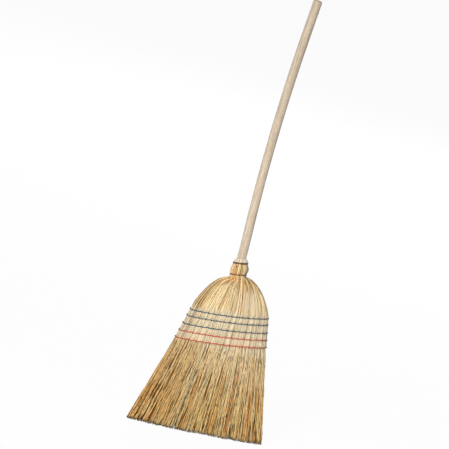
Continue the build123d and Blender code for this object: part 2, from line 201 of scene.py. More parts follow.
def section(z):
    """Shift, half width and half depth of the straw at a height."""
    if z >= COLLAR:
        rise = (z - COLLAR) / (COLLAR_TOP - COLLAR)
        radius = lerp(COLLAR_FOOT_RADIUS, COLLAR_TOP_RADIUS, rise)
        return neck_shift(z), radius, radius
    if z >= UPPER_LAND:
        return neck_shift(z), UPPER_LAND_RADIUS, UPPER_LAND_RADIUS
    if z >= BARREL:
        rise = (z - BARREL) / (UPPER_LAND - BARREL)
        bulge = 4 * rise * (1 - rise)
        radius = lerp(LOWER_LAND_RADIUS, UPPER_LAND_RADIUS, rise) + BARREL_BULGE * bulge
        return neck_shift(z) + BARREL_SHIFT * bulge, radius, radius
    if z >= NECK:
        rise = min(1, (z - NECK) / (LOWER_LAND - NECK))
        radius = lerp(NECK_RADIUS, LOWER_LAND_RADIUS, rise)
        return neck_shift(z), radius, radius
    if z >= SHOULDER:
        drop = (NECK - z) / (NECK - SHOULDER)
        left_drop = max(0, NECK - LEFT_DROP - z) / (NECK - LEFT_DROP - SHOULDER)
        left_round = left_drop**LEFT_ROUNDNESS
        right_round = drop**RIGHT_ROUNDNESS
        left = lerp(NECK_RADIUS - NECK_SHIFT, SHOULDER_WIDTH - SHOULDER_SHIFT, left_round)
        right = lerp(NECK_RADIUS + NECK_SHIFT, SHOULDER_WIDTH + SHOULDER_SHIFT, right_round)
        swell = SHOULDER_SWELL * math.sin(math.pi * drop)
        depth = lerp(NECK_RADIUS, SHOULDER_DEPTH, drop) + swell
        return (right - left) / 2, (right + left) / 2, depth
    if z >= SPLIT:
        rise = (z - SPLIT) / (SHOULDER - SPLIT)
        shift = lerp(SPLIT_SHIFT, SHOULDER_SHIFT, rise)
        half_width = lerp(SPLIT_WIDTH, SHOULDER_WIDTH, rise)
        return shift, half_width, lerp(SPLIT_DEPTH, SHOULDER_DEPTH, rise)
    rise = z / SPLIT
    hollow = SKIRT_HOLLOW * 2 * rise * (1 - rise)
    half_width = lerp(SWEEP_WIDTH, SPLIT_WIDTH, rise) - hollow
    return SPLIT_SHIFT * rise + hollow, half_width, lerp(SWEEP_DEPTH, SPLIT_DEPTH, rise)


def parting(z):
    """Where the straws' middle line passes a height."""
    if SHOULDER < z < NECK:
        return lerp(NECK_SHIFT, SHOULDER_SHIFT, (NECK - z) / (NECK - SHOULDER))
    return section(z)[0]


def oval(shift, half_width, half_depth, middle):
    """Points, outward ways and length of an oval, in four quarters from its middle line."""
    lean = math.atan(half_depth / half_width)
    spread = (half_width - half_depth) / (math.sin(lean) + math.cos(lean) - 1)
    end_radius = half_width - spread * math.sin(lean)
    face_radius = half_depth + spread * math.cos(lean)
    face = np.linspace(-lean, lean, ARC_STEPS + 1)
    end = np.linspace(lean - math.pi / 2, math.pi / 2 - lean, ARC_STEPS + 1)
    front_y = face_radius - half_depth - face_radius * np.cos(face)
    right_x = half_width - end_radius + end_radius * np.cos(end)
    front = np.stack([face_radius * np.sin(face), front_y], 1)
    right = np.stack([right_x, end_radius * np.sin(end)], 1)
    half = ARC_STEPS // 2
    way = np.concatenate(
        [front[half:-1], right[:-1], -front[:-1], -right[:-1], front[: half + 1]]
    )
    run = distances(way)
    whole, right_end = run[-1], run[ARC_STEPS]
    aside = np.interp(abs(middle - shift), way[: ARC_STEPS + 1, 0], run[: ARC_STEPS + 1])
    aside = math.copysign(aside, middle - shift)
    quarters = [aside, right_end, whole / 2 - aside, whole - right_end, whole + aside]
    at = np.interp(np.arange(SAMPLES) / SAMPLES, np.linspace(0, 1, 5), quarters) % whole
    points = np.stack([np.interp(at, run, way[:, 0]) + shift, np.interp(at, run, way[:, 1])], 1)
    along = unit(np.roll(points, -1, 0) - np.roll(points, 1, 0))
    return points, np.stack([along[:, 1], -along[:, 0]], 1), whole


levels = np.arange(0, COLLAR_TOP + LEVEL_STEP, LEVEL_STEP)
sections = np.array([section(min(z, COLLAR_TOP)) for z in levels])
ovals = [oval(*sizes, parting(min(z, COLLAR_TOP))) for sizes, z in zip(sections, levels)]
form = np.stack([np.concatenate([points, outward], 1) for points, outward, _ in ovals])
girth = np.array([length for _, _, length in ovals])


def girth_at(z):
    return np.interp(z, levels, girth)


def sizes_at(z):
    """Shifts, half widths and half depths of the straw at heights."""
    return [np.interp(z, levels, sizes) for sizes in sections.T]


def surface(share, z):
    """x, y and outward way of the straw's surface, at shares of the way round and heights."""
    level = np.clip(z / LEVEL_STEP, 0, len(levels) - TABLE_END)
    column = (share % 1) * SAMPLES
    low = level.astype(int)
    left = column.astype(int) % SAMPLES
    right = (left + 1) % SAMPLES
    up = (level - low)[..., None]
    over = (column - np.floor(column))[..., None]
    below = lerp(form[low, left], form[low, right], over)
    above = lerp(form[low + 1, left], form[low + 1, right], over)
    found = lerp(below, above, up)
    return found[..., 0], found[..., 1], found[..., 2:]


def set_off(x, y, z, outward, offset):
    """Points moved outward from the surface."""
    return np.stack([x + outward[..., 0] * offset, y + outward[..., 1] * offset, z], -1)


def level_ways(outward):
    """Outward ways with no rise."""
    return np.concatenate([outward, np.zeros(outward.shape[:-1] + (1,))], -1)


def leaning(x, y, z):
    """How far the bindings' lean lifts a point of the neck."""
    return (NECK_LEAN * x - NECK_TIP * y) * smooth(LEAN_FOOT, LEAN_TOP, z)


def seam_height(number, x):
    rise = SEAM_MIDDLES[number] / (SHOULDER - SPLIT)
    across = x - lerp(SPLIT_SHIFT, SHOULDER_SHIFT, rise)
    half = lerp(SPLIT_WIDTH, SHOULDER_WIDTH, rise)
    return SPLIT + SEAM_MIDDLES[number] + SEAM_TILT * across + SEAM_SAG * (across / half) ** 2


MIDDLE_SEAM_WIDTH = sizes_at(SPLIT + SEAM_MIDDLES[MIDDLE_SEAM])[1]


def stitch_place(x, z):
    """Distance from the head's middle at the middle seam, on the line of straw through a point."""
    shift, half_width, _ = sizes_at(z)
    return (x - shift) / half_width * MIDDLE_SEAM_WIDTH


def stitch_phase(x, z):
    """Distance to the nearest column of stitches, as a share of the pitch from -0.5 to 0.5."""
    return (stitch_place(x, z) / STITCH_PITCH + 0.5) % 1 - 0.5


def stitch_columns(x, y, z, width):
    """How near a point is to a column of stitches, from 0 to 1, fading over and under the seams."""
    column = hill(0, width, stitch_phase(x, z) * STITCH_PITCH)
    edge = hill(EDGE_COLUMN * STITCH_PITCH, EDGE_COLUMN_SPREAD * width, stitch_place(x, z))
    over_foot = smooth(*COLUMN_FOOT, z - seam_height(LOW_SEAM, x))
    reach = over_foot * (1 - smooth(*COLUMN_TOP, z - seam_height(TOP_SEAM, x)))
    face = smooth(*COLUMN_FACE, np.abs(y) / sizes_at(z)[2])
    return np.maximum(column, edge * (y < 0)) * reach * face


def relief(x, y, z):
    """How far the twine draws the straw in, at the seams and down the columns of stitches."""
    seams = range(len(SEAM_NODES))
    pull = sum(SEAM_PULL * hill(seam_height(number, x), SEAM_PULL_REACH, z) for number in seams)
    return -pull - COLUMN_PULL * stitch_columns(x, y, z, COLUMN_PULL_REACH)


# Meshes
TONE = "straw_tone"


def mesh_object(name, points, faces, colours=None):
    """A smooth mesh from points in millimetres, lists of faces of one size each and colours."""
    mesh = bpy.data.meshes.new(name)
    sizes = np.concatenate([np.full(len(face), face.shape[1]) for face in faces])
    corners = np.concatenate([face.ravel() for face in faces])
    starts = np.concatenate([[0], np.cumsum(sizes)[:-1]])
    mesh.vertices.add(len(points))
    mesh.vertices.foreach_set("co", (points / 1000).astype(np.float32).ravel())
    mesh.loops.add(len(corners))
    mesh.loops.foreach_set("vertex_index", corners.astype(np.int32))
    mesh.polygons.add(len(sizes))
    mesh.polygons.foreach_set("loop_start", starts.astype(np.int32))
    mesh.update(calc_edges=True)
    mesh.shade_smooth()
    if colours is not None:
        layer = mesh.color_attributes.new(TONE, "FLOAT_COLOR", "POINT")
        flat = np.concatenate([colours, np.ones((len(colours), 1))], 1)
        layer.data.foreach_set("color", flat.astype(np.float32).ravel())
    made = bpy.data.objects.new(name, mesh)
    bpy.context.scene.collection.objects.link(made)
    return made


def tubes(paths, radii, sides, colours, outward):
    """Points, faces and colours of closed tubes, from lines, radii, colours and outward ways."""
    count, steps, _ = paths.shape
    along = unit(np.gradient(paths, axis=1))
    side = unit(np.cross(along, outward))
    front = np.cross(side, along)
    twist = chance.uniform(0, 2 * np.pi, (count, 1, 1))
    turns = (2 * np.pi * np.arange(sides) / sides + twist)[..., None]
    ring = np.cos(turns) * front[:, :, None] + np.sin(turns) * side[:, :, None]
    points = paths[:, :, None] + radii[:, :, None, None] * ring
    first = (np.arange(count) * steps * sides)[:, None, None]
    step = (np.arange(steps - 1) * sides)[None, :, None]
    corner = np.arange(sides)[None, None, :]
    here = first + step + corner
    beside = first + step + (corner + 1) % sides
    walls = np.stack([here, beside, beside + sides, here + sides], -1).reshape(-1, 4)
    foot = first[:, 0] + np.arange(sides)[None, ::-1]
    head = first[:, 0] + (steps - 1) * sides + np.arange(sides)[None, :]
    shades = np.repeat(colours.reshape(-1, 3), sides, axis=0)
    return points.reshape(-1, 3), [walls, foot, head], shades


def bundles(kinds, count, paths, radii, sides, colours, outward):
    """The tubes of each of a number of bundles."""
    made = []
    for kind in range(count):
        own = kinds == kind
        made.append(tubes(paths[own], radii[own], sides, colours[own], outward[own]))
    return made


def joined(parts):
    """One mesh's points, faces and colours from several."""
    points, faces, shades, base = [], [], [], 0
    for part_points, part_faces, part_shades in parts:
        points.append(part_points)
        faces += [face + base for face in part_faces]
        shades.append(part_shades)
        base += len(part_points)
    return np.concatenate(points), faces, np.concatenate(shades)


def filling(heights, inset, colour):
    """A closed form under the straws, so that no light passes between them, in a dark colour that
    is painted shade of the bundle's inside.
    """
    around = 180
    share = np.broadcast_to(np.arange(around) / around, (len(heights), around))
    z = np.broadcast_to(heights[:, None], share.shape)
    x, y, outward = surface(share, z)
    points = set_off(x, y, z, outward, -inset[:, None])
    row = (np.arange(len(heights) - 1) * around)[:, None]
    here = row + np.arange(around)
    beside = row + (np.arange(around) + 1) % around
    walls = np.stack([here, beside, beside + around, here + around], -1).reshape(-1, 4)
    foot = np.arange(around)[None, ::-1]
    head = np.arange(around)[None] + (len(heights) - 1) * around
    shades = np.broadcast_to(colour, (around * len(heights), 3))
    return points.reshape(-1, 3), [walls, foot, head], shades


# Straw colours
PALE = linear(252, 232, 190)
GOLD = linear(244, 217, 159)
ORANGE = linear(232, 176, 104)
BROWN = linear(168, 114, 58)
GREY = linear(244, 234, 210)
SAGE = linear(192, 178, 132)
BLEACHED = linear(240, 233, 218)
SHADE_BROWN = linear(110, 70, 24)

# How a straw's colour is drawn: its place from pale over golden to orange, which warmth moves, and
# how grey, brown and light it is
HUE_DRAW, HUE_UNEVENNESS = (1.8, 2.7), 0.08
WARMTH_WEIGHT, NO_WARMTH, PLAIN_WARMTH = 0.5, 0.35, 0.3
GREY_DRAW, GREY_UNEVENNESS, GREYEST = (0.08, 0.22), 0.12, 0.7
BROWN_CHANCE, BROWN_RANGE = 0.07, (0.3, 0.7)
LIGHT_RANGE = (0.86, 1.08)


def patches(share, seed, count):
    """A variation from about -1 to 1, of waves that come fewer than count times round the head."""
    dice = np.random.default_rng(seed)
    waves = dice.integers(2, count, 5)
    return sum(np.sin(2 * np.pi * (wave * share + dice.random())) for wave in waves) / 3


def straw_colours(share, warm):
    """A colour for each straw: pale or golden, some orange, grey or brown; warm adds orange."""
    count = len(share)
    uneven = HUE_UNEVENNESS * patches(share, seed=3, count=24)
    hue = chance.beta(*HUE_DRAW, count) + uneven + WARMTH_WEIGHT * (warm - NO_WARMTH)
    hue = np.clip(hue, 0, 1)
    colour = lerp(PALE, GOLD, np.clip(hue * 2, 0, 1)[:, None])
    colour = lerp(colour, ORANGE, np.clip(hue * 2 - 1, 0, 1)[:, None])
    uneven = GREY_UNEVENNESS * patches(share, seed=8, count=30)
    grey = np.clip(chance.normal(*GREY_DRAW, count) + uneven, 0, GREYEST)
    colour = lerp(colour, GREY, grey[:, None])
    brown = (chance.random(count) < BROWN_CHANCE) * chance.uniform(*BROWN_RANGE, count)
    colour = lerp(colour, BROWN, brown[:, None])
    return colour * chance.uniform(*LIGHT_RANGE, count)[:, None]


def field_of(x, y):
    """Which bundle a straw belongs to by where it passes the split."""
    across = x - SPLIT_SHIFT
    face = np.where(y < 0, FRONT, BACK)
    return np.where(across < -COVER_HALF, LEFT, np.where(across > COVER_HALF, RIGHT, face))


# Materials
WHITE = (1.0, 1.0, 1.0)


def new_material(name, roughness):
    made = bpy.data.materials.new(name)
    made.use_nodes = True
    shader = made.node_tree.nodes["Principled BSDF"]
    shader.inputs["Roughness"].default_value = roughness
    return made, made.node_tree, shader


def stretched_noise(tree, scale, stretch, detail):
    """Noise on the object's own coordinates, drawn out along the handle."""
    place = tree.nodes.new("ShaderNodeTexCoord")
    mapping = tree.nodes.new("ShaderNodeMapping")
    mapping.inputs["Scale"].default_value = (1, 1, stretch)
    noise = tree.nodes.new("ShaderNodeTexNoise")
    noise.inputs["Scale"].default_value = scale
    noise.inputs["Detail"].default_value = detail
    tree.links.new(place.outputs["Object"], mapping.inputs["Vector"])
    tree.links.new(mapping.outputs["Vector"], noise.inputs["Vector"])
    return noise.outputs["Fac"]


def coordinate(tree, kind, axis):
    """One coordinate of a surface point's place, or of its normal, in the object's own axes."""
    place = tree.nodes.new("ShaderNodeTexCoord")
    parts = tree.nodes.new("ShaderNodeSeparateXYZ")
    tree.links.new(place.outputs[kind], parts.inputs["Vector"])
    return parts.outputs[axis]


def point_tone(tree):
    tone = tree.nodes.new("ShaderNodeAttribute")
    tone.attribute_name = TONE
    return tone.outputs["Color"]


def ramp(tree, factor, *stops):
    """A colour ramp of (place, linear colour) stops."""
    node = tree.nodes.new("ShaderNodeValToRGB")
    band = node.color_ramp
    while len(band.elements) < len(stops):
        band.elements.new(0.5)
    for element, (place, colour) in zip(band.elements, stops):
        element.position = place
        element.color = (*colour, 1)
    tree.links.new(factor, node.inputs["Fac"])
    return node.outputs["Color"]


def multiplied(tree, first, second):
    node = tree.nodes.new("ShaderNodeMix")
    node.data_type = "RGBA"
    node.blend_type = "MULTIPLY"
    node.inputs["Factor"].default_value = 1
    tree.links.new(first, node.inputs["A"])
    tree.links.new(second, node.inputs["B"])
    return node.outputs["Result"]


def mapped(tree, value, low, high, start=0, end=1):
    """A value's range from start to end, mapped to low to high."""
    node = tree.nodes.new("ShaderNodeMapRange")
    node.inputs["From Min"].default_value = start
    node.inputs["From Max"].default_value = end
    node.inputs["To Min"].default_value = low
    node.inputs["To Max"].default_value = high
    tree.links.new(value, node.inputs["Value"])
    return node.outputs["Result"]


def bump(tree, shader, height, strength, depth):
    node = tree.nodes.new("ShaderNodeBump")
    node.inputs["Strength"].default_value = strength
    node.inputs["Distance"].default_value = depth
    tree.links.new(height, node.inputs["Height"])
    tree.links.new(node.outputs["Normal"], shader.inputs["Normal"])


def straw_material(name, roughness, darkest, husk):
    made, tree, shader = new_material(name, roughness)
    tone = point_tone(tree)
    streaks = stretched_noise(tree, scale=900, stretch=0.06, detail=3)
    grain = ramp(tree, streaks, (0.3, (darkest,) * 3), (0.62, WHITE))
    scales = stretched_noise(tree, scale=480, stretch=0.22, detail=2)
    husks = ramp(tree, scales, (0.4, husk), (0.56, WHITE))
    colour = multiplied(tree, multiplied(tree, tone, grain), husks)
    tree.links.new(colour, shader.inputs["Base Color"])
    bump(tree, shader, streaks, strength=0.35, depth=0.0004)
    shader.inputs["Specular IOR Level"].default_value = 0.3
    return made


def wood_material(name):
    """Pale wood, darker towards the top and rough on the end grain."""
    satin, rough = 0.52, 1
    made, tree, shader = new_material(name, satin)
    long_grain = stretched_noise(tree, scale=260, stretch=0.05, detail=4)
    pores = stretched_noise(tree, scale=1500, stretch=0.03, detail=2)
    dark, middle, light = linear(180, 161, 140), linear(198, 180, 158), linear(210, 193, 173)
    wood = ramp(tree, long_grain, (0.32, dark), (0.5, middle), (0.68, light))
    flecks = ramp(tree, pores, (0.34, (0.78, 0.75, 0.7)), (0.48, WHITE))
    height = coordinate(tree, "Object", "Z")
    darker_top = ramp(tree, height, (0.65, WHITE), (1.0, (0.84, 0.84, 0.82)))
    colour = multiplied(tree, multiplied(tree, wood, flecks), darker_top)
    tree.links.new(colour, shader.inputs["Base Color"])
    bump(tree, shader, pores, strength=0.25, depth=0.0003)
    upward = coordinate(tree, "Normal", "Z")
    end_grain = mapped(tree, upward, satin, rough, start=0.4, end=0.7)
    tree.links.new(end_grain, shader.inputs["Roughness"])
    shader.inputs["Specular IOR Level"].default_value = 0.35
    return made


def metal_material(name, *stops, roughness, metallic):
    made, tree, shader = new_material(name, roughness)
    tarnish = stretched_noise(tree, scale=450, stretch=1, detail=4)
    tree.links.new(ramp(tree, tarnish, *stops), shader.inputs["Base Color"])
    bump(tree, shader, tarnish, strength=0.2, depth=0.0002)
    shader.inputs["Metallic"].default_value = metallic
    return made


def twine_material(name, dark, light):
    """Fuzzy twine with each ply's own tone, darker at the head's right end."""
    made, tree, shader = new_material(name, roughness=0.75)
    fuzz = stretched_noise(tree, scale=1300, stretch=1, detail=3)
    across = coordinate(tree, "Object", "X")
    darker_right_end = ramp(tree, across, (0.104, WHITE), (0.114, (0.4, 0.36, 0.32)))
    colour = multiplied(tree, ramp(tree, fuzz, (0.3, dark), (0.7, light)), darker_right_end)
    colour = multiplied(tree, colour, point_tone(tree))
    tree.links.new(colour, shader.inputs["Base Color"])
    bump(tree, shader, fuzz, strength=0.4, depth=0.0003)
    shader.inputs["Sheen Weight"].default_value = 0.15
    return made


stalk_straw = straw_material("stalk_straw", roughness=0.5, darkest=0.86, husk=(0.96, 0.94, 0.9))
fibre_straw = straw_material("fibre_straw", roughness=0.62, darkest=0.92, husk=(0.93, 0.9, 0.84))
beech = wood_material("beech")
wire_stops = (0.35, linear(74, 64, 42)), (0.55, linear(118, 106, 74)), (0.7, linear(134, 94, 60))
rust_stops = (0.35, linear(92, 66, 42)), (0.55, linear(140, 98, 60)), (0.7, linear(164, 112, 70))
nail_stops = (0.35, linear(52, 42, 32)), (0.65, linear(98, 84, 66))
wire_steel = metal_material("wire_steel", *wire_stops, roughness=0.42, metallic=0.6)
rusty_steel = metal_material("rusty_steel", *rust_stops, roughness=0.5, metallic=0.4)
nail_steel = metal_material("nail_steel", *nail_stops, roughness=0.38, metallic=0.7)
twines = {
    "blue": twine_material("blue_twine", linear(10, 38, 58), linear(66, 112, 138)),
    "red": twine_material("red_twine", linear(176, 46, 38), linear(230, 98, 80)),
}


def dress(piece, material):
    piece.data.materials.clear()
    piece.data.materials.append(material)


def fix_to_head(piece, material, node):
    dress(piece, material)
    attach(piece, "head")
    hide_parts(node)


# Straws of the head, from the neck to the lowest seam. A crowding under 1 brings the steps of a
# straw closer together towards its foot, and one over 1 towards its top.
OUTER_STRAWS, OUTER_SIDES = 290, 5
UNDER_STRAWS, UNDER_SIDES, UNDER_DEPTH = 340, 4, 1.2
STRAW_STEPS, STRAW_CROWDING = 58, 0.92
STRAW_FOOT = 2.5
STRAW_JITTER, STRAW_LIFT = 0.25, 0.3
STRAW_FILL, STRAW_FULLEST, STRAW_THINNEST = 0.66, 0.62, 0.5
STRAW_SIZES = (0.75, 1.3)
STRAW_END, STRAW_END_DEPTH, STRAW_END_SIZE = 30, 2.2, 0.55
WAVER, WAVER_LENGTH = 0.5, (60, 140)
NECK_CROWD = 1.15
LOWEST_START = SHOULDER - 60
GROOVE_DEPTH = 0.7

# Their colours: darker at the left edge, with painted shade at the right edge, in the grooves and
# down the columns of stitches, worn at the seams, bleached on the right shoulder and warm under the
# neck
LEFT_EDGE, LEFT_WARMTH, LEFT_DARKNESS = (-84, -112), 0.75, (0.05, 0.65)
RIGHT_REACH, RIGHT_LIMB_SHADE = 0.013, 0.6
GROOVE_SHADE_TONES, RIDGE_TONE = (0.55, 0.85), 1.06
WORN_FOOT, WORN_TOP, WORN_SHARE = (-8, 4), (0, 22), 0.9
BLEACH_AT, BLEACH_REACH = 62, 26
BLEACH_FOOT, BLEACH_TOP, BLEACH_SHARE = (345, 365), (395, 415), 0.4
WARM_RISE, WARM_TINT, WARM_SHARE = (390, 434), np.array([0.92, 0.8, 0.62]), 0.35
COLUMN_SHADE, COLUMN_WIDTH = 0.4, 1.2

# Thick stalks of the neck
STALKS, STALK_SIDES = 30, 7
STALK_STEPS, STALK_CROWDING = 52, 1.15
STALK_TRIM, STALK_FEET = (-0.8, 2.4), (372, 414)
STALK_JITTER, STALK_LIFT = 0.16, 0.3
STALK_FILL, STALK_THICKEST, STALK_SIZES = 0.56, 2.3, (0.85, 1.12)
STALK_END, STALK_END_DEPTH, STALK_END_SIZE = 45, 2.4, 0.3
BARREL_STEP = 20  # the step that lies on the barrel

# Their colours, on the left and the right with painted shade on the right side, at the cut and its
# rim, and fanned out at the foot
STALK_WARMTH, STALK_DARKEST_AND_RIGHT_SHADE, STALK_LIGHTEST = (1.05, 0.95), (0.66, 0.4), 1.04
STALK_EDGE, STALK_SIDE_SHADE = (13, 19), 0.4
CUT_RISE, CUT_TONES, CUT_SHARE = (COLLAR - 5, COLLAR + 2), (0.68, 0.94), 0.85
RIM_RISE, RIM_SHARE = (COLLAR_TOP - 3.5, COLLAR_TOP - 1.5), 0.5
FAN_TOP, FAN_TONES = (NECK - 8, LOWER_WIRE), (0.62, 1.55)
FAN_ORANGE, FAN_SHARE = 0.35, 0.9


def body_colours(share, groove, foot_x, foot_y, x, y, z):
    """Colours along the straws of a layer."""
    count = len(share)
    left_edge = smooth(*LEFT_EDGE, foot_x - SPLIT_SHIFT)
    shade = straw_colours(share, PLAIN_WARMTH + LEFT_WARMTH * left_edge)
    shade = shade * (1 - left_edge * chance.uniform(*LEFT_DARKNESS, count))[:, None]
    # Straws at the right edge are darkened: painted shade on the side turned away from the light
    shaded_right_limb = hill(HEAD_RIGHT, RIGHT_REACH, share)
    # Straws lying in the grooves are darker: partly a random tone, partly painted shade in the
    # grooves
    tone = np.where(groove, chance.uniform(*GROOVE_SHADE_TONES, count), RIDGE_TONE)
    shade = shade * (tone * (1 - RIGHT_LIMB_SHADE * shaded_right_limb))[:, None]
    shade = shade[:, None] * np.ones((count, STRAW_STEPS, 1))
    over_foot = smooth(*WORN_FOOT, z - seam_height(LOW_SEAM, x))
    worn = over_foot * (1 - smooth(*WORN_TOP, z - seam_height(TOP_SEAM, x)))
    shade = lerp(shade, shade * 0.45 + GREY * 0.48, (WORN_SHARE * worn)[..., None])
    bare = hill(BLEACH_AT, BLEACH_REACH, foot_x)[:, None] * smooth(*BLEACH_FOOT, z)
    bare = bare * (1 - smooth(*BLEACH_TOP, z))
    bare = BLEACH_SHARE * bare * (foot_y < 0)[:, None]
    shade = lerp(shade, BLEACHED * 0.95, bare[..., None])
    shade = lerp(shade, shade * WARM_TINT, (smooth(*WARM_RISE, z) * WARM_SHARE)[..., None])
    # Darker down the columns of stitches, where the twine draws the straw in: painted shade
    return shade * (1 - COLUMN_SHADE * stitch_columns(x, y, z, COLUMN_WIDTH))[..., None]


def body_layer(count, depth, sides):
    """One layer of straws round the head, for each of the four outer bundles."""
    share = (np.arange(count) + chance.uniform(-STRAW_JITTER, STRAW_JITTER, count)) / count

    # A straw starts where the head grows wide enough for it, the first ones at the lower wire
    crowd = (chance.permutation(count) + 0.5) / count * girth[int(SPLIT)]
    above = levels >= LOWEST_START
    start = np.interp(crowd, girth[above][::-1], levels[above][::-1])
    from_neck = crowd < girth[int(NECK)] * NECK_CROWD
    start = np.where(from_neck, LOWER_WIRE, np.minimum(start, LOWER_WIRE))
    foot_x, foot_y, _ = surface(share, np.full(count, LOW_SEAM_HEIGHT))
    foot = seam_height(LOW_SEAM, foot_x) - STRAW_FOOT
    run = np.linspace(0, 1, STRAW_STEPS) ** STRAW_CROWDING
    z = start[:, None] + (foot - start)[:, None] * run

    # Straws waver, fill the way round, come up from under the others and lie in grooves by chance
    wave = chance.uniform(*WAVER_LENGTH, (count, 1))
    waver = WAVER * swing(z, wave, chance.random((count, 1)))
    x, y, outward = surface(share[:, None] + waver / girth_at(z), z)
    fullest = STRAW_FULLEST * girth[int(LOW_SEAM_HEIGHT)] / count
    radius = np.clip(STRAW_FILL * girth_at(z) / count, STRAW_THINNEST, fullest)
    radius = radius * chance.uniform(*STRAW_SIZES, (count, 1))
    emerge = smooth(0, STRAW_END, start[:, None] - z)
    radius = radius * lerp(STRAW_END_SIZE, 1, emerge)
    groove = (np.arange(count) + chance.integers(0, 2, count)) % 3 == 0
    offset = relief(x, y, z) - depth - radius - STRAW_END_DEPTH * (1 - emerge)
    offset = offset + chance.uniform(-STRAW_LIFT, STRAW_LIFT, (count, 1))
    offset = offset - GROOVE_DEPTH * groove[:, None]
    paths = set_off(x, y, z, outward, offset)
    shade = body_colours(share, groove, foot_x, foot_y, x, y, z)
    kinds = field_of(foot_x, foot_y)
    return bundles(kinds, len(HEAD_NODES), paths, radius, sides, shade, level_ways(outward))


def stalk_colours(share, x, z):
    """Colours along the stalks, with painted shade on the right side; they are dark and light in
    turn at the foot.
    """
    count = len(share)
    on_left = x[:, BARREL_STEP] < 0
    warm = np.where(on_left, *STALK_WARMTH)
    shade = straw_colours(share, warm)[:, None] * np.ones((count, STALK_STEPS, 1))
    # Stalks on the right side can fall much darker: painted shade on top of a random tone
    darkest = np.where(on_left, *STALK_DARKEST_AND_RIGHT_SHADE)
    shade = shade * lerp(darkest, STALK_LIGHTEST, chance.random(count))[:, None, None]
    cut = smooth(*CUT_RISE, z)[..., None]
    shade = lerp(shade, BLEACHED * chance.uniform(*CUT_TONES, (count, 1, 1)), CUT_SHARE * cut)
    # Darker towards the right side below the cut: painted shade
    edge = STALK_SIDE_SHADE * smooth(*STALK_EDGE, x) * (1 - cut[..., 0])
    shade = shade * (1 - edge)[..., None]
    rim = smooth(*RIM_RISE, z)[..., None]
    shade = lerp(shade, ORANGE, RIM_SHARE * rim)
    low = (1 - smooth(*FAN_TOP, z))[..., None]
    fan = np.where(np.arange(count) % 2 == 0, *FAN_TONES)[:, None, None]
    return lerp(shade, lerp(shade, ORANGE, FAN_ORANGE) * fan, low * FAN_SHARE)


def neck_stalks(count):
    """Thick stalks round the handle, from the trimmed collar to under the lower wire."""
    share = (np.arange(count) + chance.uniform(-STALK_JITTER, STALK_JITTER, count)) / count
    top = COLLAR_TOP - chance.uniform(*STALK_TRIM, count)
    foot = chance.uniform(*STALK_FEET, count)
    run = np.linspace(0, 1, STALK_STEPS) ** STALK_CROWDING
    z = top[:, None] + (foot - top)[:, None] * run
    lane = np.broadcast_to(share[:, None], z.shape)
    x, y, outward = surface(lane, np.minimum(z, COLLAR_TOP))
    radius = np.minimum(STALK_FILL * girth_at(z) / count, STALK_THICKEST)
    radius = radius * chance.uniform(*STALK_SIZES, (count, 1))
    end = smooth(0, STALK_END, z - foot[:, None])
    radius = radius * lerp(STALK_END_SIZE, 1, end)
    offset = -radius - STALK_END_DEPTH * (1 - end)
    offset = offset + chance.uniform(-STALK_LIFT, STALK_LIFT, (count, 1))
    paths = set_off(x, y, z + leaning(x, y, z), outward, offset)
    shade = stalk_colours(share, x, z)
    kinds = np.where(y[:, BARREL_STEP] > 0, BACK, FRONT)
    return bundles(kinds, 2, paths, radius, STALK_SIDES, shade, level_ways(outward))


outer = body_layer(OUTER_STRAWS, 0.0, OUTER_SIDES)
under = body_layer(UNDER_STRAWS, UNDER_DEPTH, UNDER_SIDES)
stalks = neck_stalks(STALKS)
for kind, node in enumerate(HEAD_NODES):
    layers = [outer[kind], under[kind]] + stalks[kind : kind + 1]
    fix_to_head(mesh_object(node + "s", *joined(layers)), stalk_straw, node)

# A core under the straws, whose brown is painted shade of the bundle's inside
CORE_FOOT, CORE_TOP, CORE_INSET = SPLIT + 2, COLLAR - 2, 3.4
core_heights = np.concatenate([np.arange(CORE_FOOT, NECK, 6.0), np.arange(NECK, CORE_TOP, 3.0)])
core = filling(core_heights, np.full(len(core_heights), CORE_INSET), BROWN)
fix_to_head(mesh_object("core_straws", *core), stalk_straw, "core_straw")

# Bristles: tufts of fine crinkled fibres, with loose ones between them. Neighbouring tufts are
# light and proud or dark and sunk in turn; the sunk ones' darkness is painted shade on top of a
# random tone.
TUFTS = 300
SKIN_FIBRES, LOOSE_FIBRES, INNER_FIBRES = 5, 1, 6
FIBRE_SIDES = 3
FIBRE_STEPS, INNER_STEPS = 52, 12
INNER_TOP = 232.0
FIBRE_SIZES, FIBRE_TAPER = (0.7, 1.25), 1.4
JOIN_OVERLAP = 4
JOIN_TUCK, JOIN_RISE = 2.2, (SPLIT + 8, SPLIT + 24)
SCALLOPS, SCALLOP_DEPTH, TIP_ROUGHNESS = 38, 5, 0.5
TUFT_JITTER = 0.25
TWIST_LENGTH = (120, 300)
DRIFT_POWER = 1.6
PROUD_FALL = (0.05, 0.4)
CRINKLES = (((30, 70), 0.5), ((12, 22), 0.35))  # length and size of each
CRINKLE_SIZES = (0.4, 1.3)
DRAWN_DEPTH = 4  # the twine draws in fibres that lie less deep

